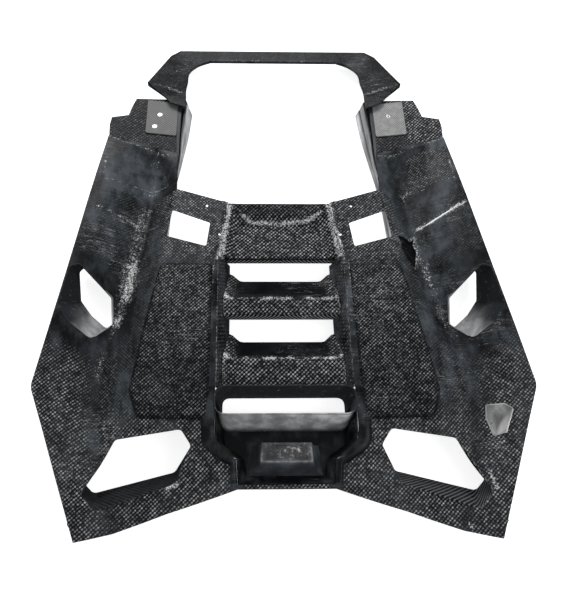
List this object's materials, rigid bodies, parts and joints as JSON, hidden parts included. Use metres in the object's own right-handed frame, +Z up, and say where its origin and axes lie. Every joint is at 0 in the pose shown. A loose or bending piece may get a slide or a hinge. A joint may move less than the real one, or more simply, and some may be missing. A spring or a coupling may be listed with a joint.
{
  "type": "rear engine cover",
  "caption": "Carbon rear engine cover of a race car, inside up, with a front hoop, hinge arms, louvred spine, flank ducts and rear vents.",
  "frame": {"origin": "middle of the cover's box on the surface that it lies on", "axes": "+X to the right of a person who stands behind the tail, +Y from the tail to the hoop at the cabin end, +Z up, out of the cover's inner side"},
  "size_m": [1.3212, 1.714, 0.15],
  "materials": {
    "raw_carbon": "raw inner face of a carbon laminate, coarse twill weave, semi-gloss resin with scuffs and dust",
    "smooth_carbon": "smooth black moulding against the tool, glossy",
    "grey_gloss_skin": "grey gloss resin skin that reflects its surroundings",
    "grey_coated_metal": "light grey satin coat, scuffed",
    "foam_core": "structural foam, hidden inside the sandwich panels",
    "steel": "plain steel inserts, backing plates and screw"
  },
  "bodies": {
    "root": {"cup_screw": "steel", "front_slat": "raw_carbon", "hoop_bar": "raw_carbon", "latch_backing": "steel", "latch_box": "grey_gloss_skin", "latch_pocket": "smooth_carbon", "left_arm_channel": "raw_carbon", "left_arm_end_flange": "raw_carbon", "left_core_panel": "raw_carbon", "left_foam_core": "foam_core", "left_hinge_backing": "steel", "left_hinge_insert_1": "steel", "left_hinge_insert_2": "steel", "left_hinge_plate": "grey_coated_metal", "left_hoop_leg": "raw_carbon", "left_inner_wall": "grey_gloss_skin", "left_side_duct": "grey_gloss_skin", "left_spine_wall": "smooth_carbon", "left_vent_return": "raw_carbon", "main_shell": "raw_carbon", "rear_duct": "grey_gloss_skin", "rear_slat": "raw_carbon", "recess_cup": "grey_coated_metal", "right_arm_channel": "raw_carbon", "right_arm_end_flange": "raw_carbon", "right_core_panel": "raw_carbon", "right_foam_core": "foam_core", "right_hinge_backing": "steel", "right_hinge_insert_1": "steel", "right_hinge_plate": "grey_coated_metal", "right_hoop_leg": "raw_carbon", "right_inner_wall": "grey_gloss_skin", "right_side_duct": "grey_gloss_skin", "right_spine_wall": "smooth_carbon", "right_vent_return": "raw_carbon", "spine_box": "raw_carbon"}
  },
  "joints": []
}
